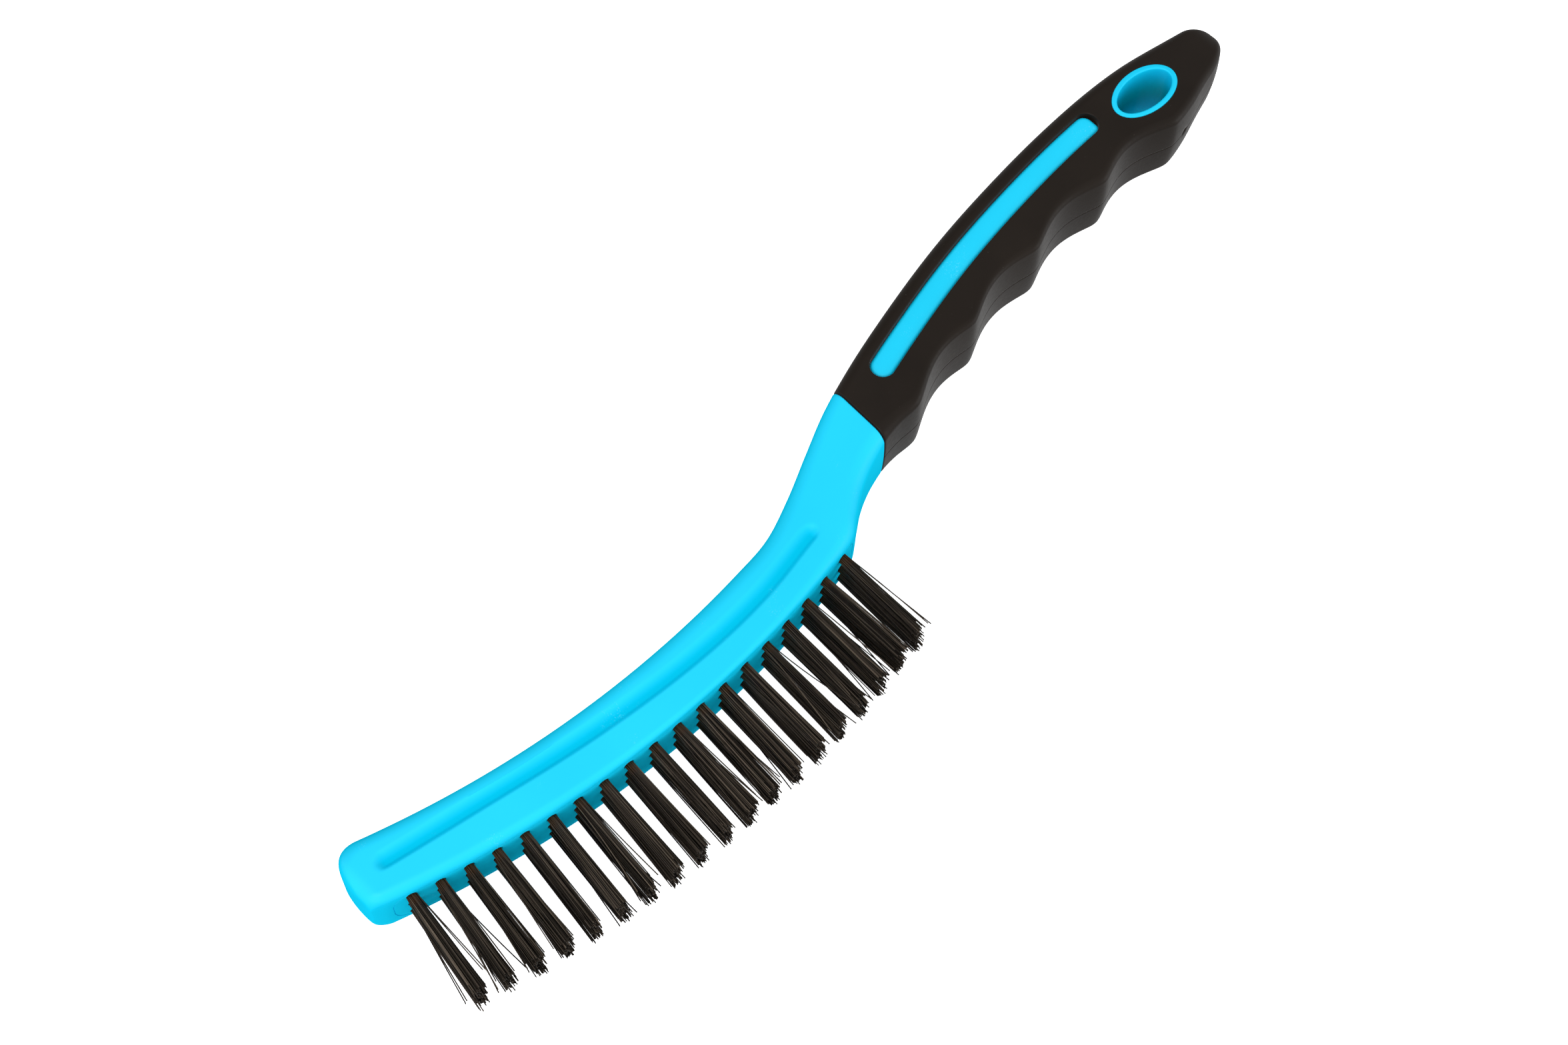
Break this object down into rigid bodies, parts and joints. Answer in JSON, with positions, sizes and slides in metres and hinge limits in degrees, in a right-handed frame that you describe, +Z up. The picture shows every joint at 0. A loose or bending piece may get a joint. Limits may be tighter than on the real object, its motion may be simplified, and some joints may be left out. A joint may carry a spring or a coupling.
{
  "type": "wire brush",
  "caption": "Curved-handle wire scratch brush with a moulded plastic body, rows of steel wire tufts on a convex face, a soft finger-grooved grip and an oval hanging eyelet.",
  "frame": {"origin": "bottom centre of the bounding box, with the brush lying on its side", "axes": "+X from the toe of the head to the tail of the grip, -Y the way the bristles point, +Z up across the width of the brush"},
  "size_m": [0.3474, 0.0785, 0.026],
  "materials": {
    "handle_plastic": "satin moulded cyan polypropylene",
    "soft_grip": "satin black soft overmould",
    "bristle_steel": "dark oil-tempered steel wire, bright at the cut ends"
  },
  "bodies": {
    "root": {"handle_core": "handle_plastic", "grip": "soft_grip", "tuft_r1_c01": "bristle_steel", "tuft_r2_c01": "bristle_steel", "tuft_r3_c01": "bristle_steel", "tuft_r1_c02": "bristle_steel", "tuft_r2_c02": "bristle_steel", "tuft_r3_c02": "bristle_steel", "tuft_r1_c03": "bristle_steel", "tuft_r2_c03": "bristle_steel", "tuft_r3_c03": "bristle_steel", "tuft_r1_c04": "bristle_steel", "tuft_r2_c04": "bristle_steel", "tuft_r3_c04": "bristle_steel", "tuft_r1_c05": "bristle_steel", "tuft_r2_c05": "bristle_steel", "tuft_r3_c05": "bristle_steel", "tuft_r1_c06": "bristle_steel", "tuft_r2_c06": "bristle_steel", "tuft_r3_c06": "bristle_steel", "tuft_r1_c07": "bristle_steel", "tuft_r2_c07": "bristle_steel", "tuft_r3_c07": "bristle_steel", "tuft_r1_c08": "bristle_steel", "tuft_r2_c08": "bristle_steel", "tuft_r3_c08": "bristle_steel", "tuft_r1_c09": "bristle_steel", "tuft_r2_c09": "bristle_steel", "tuft_r3_c09": "bristle_steel", "tuft_r1_c10": "bristle_steel", "tuft_r2_c10": "bristle_steel", "tuft_r3_c10": "bristle_steel", "tuft_r1_c11": "bristle_steel", "tuft_r2_c11": "bristle_steel", "tuft_r3_c11": "bristle_steel", "tuft_r1_c12": "bristle_steel", "tuft_r2_c12": "bristle_steel", "tuft_r3_c12": "bristle_steel", "tuft_r1_c13": "bristle_steel", "tuft_r2_c13": "bristle_steel", "tuft_r3_c13": "bristle_steel", "tuft_r1_c14": "bristle_steel", "tuft_r2_c14": "bristle_steel", "tuft_r3_c14": "bristle_steel", "tuft_r1_c15": "bristle_steel", "tuft_r2_c15": "bristle_steel", "tuft_r3_c15": "bristle_steel", "tuft_r1_c16": "bristle_steel", "tuft_r2_c16": "bristle_steel", "tuft_r3_c16": "bristle_steel", "tuft_r1_c17": "bristle_steel", "tuft_r2_c17": "bristle_steel", "tuft_r3_c17": "bristle_steel", "tuft_r1_c18": "bristle_steel", "tuft_r2_c18": "bristle_steel", "tuft_r3_c18": "bristle_steel", "tuft_r1_c19": "bristle_steel", "tuft_r2_c19": "bristle_steel", "tuft_r3_c19": "bristle_steel"}
  },
  "joints": []
}
